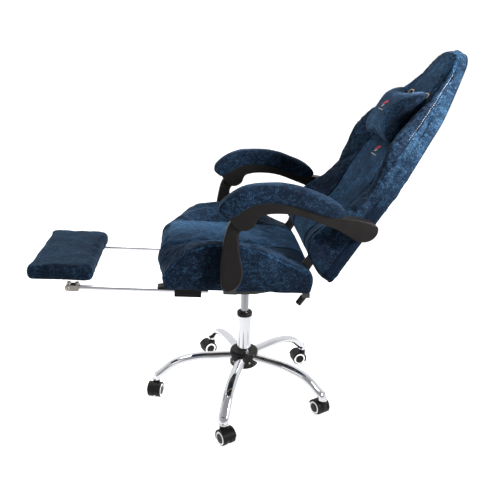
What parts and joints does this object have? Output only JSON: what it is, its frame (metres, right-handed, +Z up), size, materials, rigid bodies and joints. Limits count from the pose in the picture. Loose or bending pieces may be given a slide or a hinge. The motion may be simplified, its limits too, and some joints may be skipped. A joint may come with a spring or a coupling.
{
  "type": "gaming chair",
  "caption": "High-backed reclining swivel chair on a castered star base, with side bolsters, linked armrests, head pillow and a pull-out footrest that flips over to stow.",
  "frame": {"origin": "on the floor on the axis of the gas lift", "axes": "+Z up; the chair faces -Y; +X is the sitter's left"},
  "size_m": [0.6752, 1.3604, 1.2044],
  "materials": {
    "black_plastic": "satin moulded",
    "caster_plastic": "gloss with a white ring",
    "white_plastic": "satin moulded",
    "chrome": "polished plate",
    "piston_steel": "ground",
    "zinc_steel": "zinc plate",
    "black_steel": "satin powder coat",
    "plywood": "bare plywood",
    "black_board": "black laminated board",
    "blue_fabric": "chenille velour over foam",
    "navy_fabric": "chenille velour over foam",
    "strap_webbing": "woven strap, beige slot trims"
  },
  "bodies": {
    "base": {"base_hub": "black_plastic", "base_arm_1": "chrome", "base_arm_2": "chrome", "base_arm_3": "chrome", "base_arm_4": "chrome", "base_arm_5": "chrome", "column_tube": "chrome", "column_collar": "black_plastic", "caster_washers": "white_plastic"},
    "caster_1_fork": {"caster_1_hood": "black_plastic", "caster_1_pins": "zinc_steel"},
    "caster_1_roller_a": {"caster_1_wheel_a": "caster_plastic"},
    "caster_1_roller_b": {"caster_1_wheel_b": "caster_plastic"},
    "caster_2_fork": {"caster_2_hood": "black_plastic", "caster_2_pins": "zinc_steel"},
    "caster_2_roller_a": {"caster_2_wheel_a": "caster_plastic"},
    "caster_2_roller_b": {"caster_2_wheel_b": "caster_plastic"},
    "caster_3_fork": {"caster_3_hood": "black_plastic", "caster_3_pins": "zinc_steel"},
    "caster_3_roller_a": {"caster_3_wheel_a": "caster_plastic"},
    "caster_3_roller_b": {"caster_3_wheel_b": "caster_plastic"},
    "caster_4_fork": {"caster_4_hood": "black_plastic", "caster_4_pins": "zinc_steel"},
    "caster_4_roller_a": {"caster_4_wheel_a": "caster_plastic"},
    "caster_4_roller_b": {"caster_4_wheel_b": "caster_plastic"},
    "caster_5_fork": {"caster_5_hood": "black_plastic", "caster_5_pins": "zinc_steel"},
    "caster_5_roller_a": {"caster_5_wheel_a": "caster_plastic"},
    "caster_5_roller_b": {"caster_5_wheel_b": "caster_plastic"},
    "piston": {"gas_piston": "piston_steel"},
    "mechanism": {"tilt_housing": "black_steel", "tilt_hardware": "zinc_steel"},
    "knob": {"tension_knob": "black_plastic"},
    "lift_lever": {"height_lever": "black_plastic"},
    "seat": {"tilt_top_plate": "black_steel", "seat_board": "plywood", "seat_cushion": "blue_fabric", "seat_wing_left": "navy_fabric", "seat_wing_right": "navy_fabric", "footrest_guides": "black_plastic", "side_brackets": "black_steel"},
    "back": {"back_frame": "black_steel", "back_hinge_plates": "black_steel", "back_rear_cover": "navy_fabric", "back_cushion": "blue_fabric", "back_bolster_left": "navy_fabric", "back_bolster_right": "navy_fabric", "head_pillow": "blue_fabric", "pillow_strap": "strap_webbing"},
    "upright_left": {"arm_upright_left": "black_plastic"},
    "armrest_left": {"arm_shell_left": "black_plastic", "arm_pad_left": "navy_fabric"},
    "upright_right": {"arm_upright_right": "black_plastic"},
    "armrest_right": {"arm_shell_right": "black_plastic", "arm_pad_right": "navy_fabric"},
    "rods": {"footrest_rods": "chrome"},
    "footrest": {"footrest_brackets": "zinc_steel", "footrest_board": "black_board", "footrest_pad": "blue_fabric"},
    "pull": {"recline_lever": "black_plastic"}
  },
  "joints": [
    {"name": "caster_1_swivel", "type": "hinge", "parent": "base", "child": "caster_1_fork", "pos_m": [0.01154, -0.31479, 0.07], "axis": [0, 0, 1], "continuous": true},
    {"name": "caster_1_spin_a", "type": "hinge", "parent": "caster_1_fork", "child": "caster_1_roller_a", "pos_m": [0.02901, -0.31914, 0.025], "axis": [-0.2419, -0.9703, 0], "continuous": true},
    {"name": "caster_1_spin_b", "type": "hinge", "parent": "caster_1_fork", "child": "caster_1_roller_b", "pos_m": [0.02901, -0.31914, 0.025], "axis": [-0.2419, -0.9703, 0], "continuous": true},
    {"name": "caster_2_swivel", "type": "hinge", "parent": "base", "child": "caster_2_fork", "pos_m": [0.30295, -0.0863, 0.07], "axis": [0, 0, 1], "continuous": true},
    {"name": "caster_2_spin_a", "type": "hinge", "parent": "caster_2_fork", "child": "caster_2_roller_a", "pos_m": [0.31854, -0.0773, 0.025], "axis": [0.5, -0.866, 0], "continuous": true},
    {"name": "caster_2_spin_b", "type": "hinge", "parent": "caster_2_fork", "child": "caster_2_roller_b", "pos_m": [0.31854, -0.0773, 0.025], "axis": [0.5, -0.866, 0], "continuous": true},
    {"name": "caster_3_swivel", "type": "hinge", "parent": "base", "child": "caster_3_fork", "pos_m": [0.17569, 0.26145, 0.07], "axis": [0, 0, 1], "continuous": true},
    {"name": "caster_3_spin_a", "type": "hinge", "parent": "caster_3_fork", "child": "caster_3_roller_a", "pos_m": [0.15995, 0.25273, 0.025], "axis": [-0.4848, 0.8746, 0], "continuous": true},
    {"name": "caster_3_spin_b", "type": "hinge", "parent": "caster_3_fork", "child": "caster_3_roller_b", "pos_m": [0.15995, 0.25273, 0.025], "axis": [-0.4848, 0.8746, 0], "continuous": true},
    {"name": "caster_4_swivel", "type": "hinge", "parent": "base", "child": "caster_4_fork", "pos_m": [-0.19437, 0.24788, 0.07], "axis": [0, 0, 1], "continuous": true},
    {"name": "caster_4_spin_a", "type": "hinge", "parent": "caster_4_fork", "child": "caster_4_roller_a", "pos_m": [-0.19062, 0.23028, 0.025], "axis": [-0.9781, -0.2079, 0], "continuous": true},
    {"name": "caster_4_spin_b", "type": "hinge", "parent": "caster_4_fork", "child": "caster_4_roller_b", "pos_m": [-0.19062, 0.23028, 0.025], "axis": [-0.9781, -0.2079, 0], "continuous": true},
    {"name": "caster_5_swivel", "type": "hinge", "parent": "base", "child": "caster_5_fork", "pos_m": [-0.29581, -0.10825, 0.07], "axis": [0, 0, 1], "continuous": true},
    {"name": "caster_5_spin_a", "type": "hinge", "parent": "caster_5_fork", "child": "caster_5_roller_a", "pos_m": [-0.28821, -0.12457, 0.025], "axis": [-0.9063, -0.4226, 0], "continuous": true},
    {"name": "caster_5_spin_b", "type": "hinge", "parent": "caster_5_fork", "child": "caster_5_roller_b", "pos_m": [-0.28821, -0.12457, 0.025], "axis": [-0.9063, -0.4226, 0], "continuous": true},
    {"name": "gas_lift", "type": "slide", "parent": "base", "child": "piston", "axis": [0, 0, 1], "range_m": [-0.08, 0]},
    {"name": "seat_swivel", "type": "hinge", "parent": "piston", "child": "mechanism", "pos_m": [0, 0, 0.43], "axis": [0, 0, 1], "continuous": true},
    {"name": "tension_turn", "type": "hinge", "parent": "mechanism", "child": "knob", "pos_m": [0, -0.092, 0.425], "axis": [0, 0, 1], "range_deg": [-360, 360]},
    {"name": "lift_lever_tilt", "type": "hinge", "parent": "mechanism", "child": "lift_lever", "pos_m": [-0.05, 0.01, 0.422], "axis": [0, 1, 0], "range_deg": [0, 4], "stiffness_Nm_per_rad": 3, "springref_deg": -5.73},
    {"name": "rock", "type": "hinge", "parent": "mechanism", "child": "seat", "pos_m": [0, -0.085, 0.455], "axis": [-1, 0, 0], "range_deg": [0, 10], "stiffness_Nm_per_rad": 200, "springref_deg": -20.05},
    {"name": "recline", "type": "hinge", "parent": "seat", "child": "back", "pos_m": [0, 0.19, 0.588], "axis": [-1, 0, 0], "range_deg": [-25, 17]},
    {"name": "upright_left_swing", "type": "hinge", "parent": "seat", "child": "upright_left", "pos_m": [0.278, -0.064, 0.545], "axis": [-1, 0, 0], "range_deg": [-17, 12]},
    {"name": "armrest_left_swing", "type": "hinge", "parent": "back", "child": "armrest_left", "pos_m": [0.278, 0.33955, 0.69363], "axis": [-1, 0, 0], "range_deg": [-12, 17]},
    {"name": "upright_right_swing", "type": "hinge", "parent": "seat", "child": "upright_right", "pos_m": [-0.278, -0.064, 0.545], "axis": [-1, 0, 0], "range_deg": [-17, 12]},
    {"name": "armrest_right_swing", "type": "hinge", "parent": "back", "child": "armrest_right", "pos_m": [-0.278, 0.33955, 0.69363], "axis": [-1, 0, 0], "range_deg": [-12, 17]},
    {"name": "footrest_slide", "type": "slide", "parent": "seat", "child": "rods", "axis": [0, 0.9989, -0.0471], "range_m": [0, 0.3]},
    {"name": "footrest_flip", "type": "hinge", "parent": "rods", "child": "footrest", "pos_m": [0, -0.56207, 0.49297], "axis": [1, 0, 0], "range_deg": [0, 180]},
    {"name": "recline_pull", "type": "hinge", "parent": "seat", "child": "pull", "pos_m": [0.225, 0.174, 0.472], "axis": [-1, 0, 0], "range_deg": [0, 25], "stiffness_Nm_per_rad": 1, "springref_deg": -8.59}
  ],
  "couplings": [
    {"joint": "upright_left_swing", "follows": "recline", "ratio": 0.663},
    {"joint": "upright_right_swing", "follows": "recline", "ratio": 0.663},
    {"joint": "armrest_left_swing", "follows": "recline", "ratio": -0.665},
    {"joint": "armrest_right_swing", "follows": "recline", "ratio": -0.665},
    {"joint": "footrest_flip", "follows": "footrest_slide", "rad_per_m": 10.472}
  ]
}
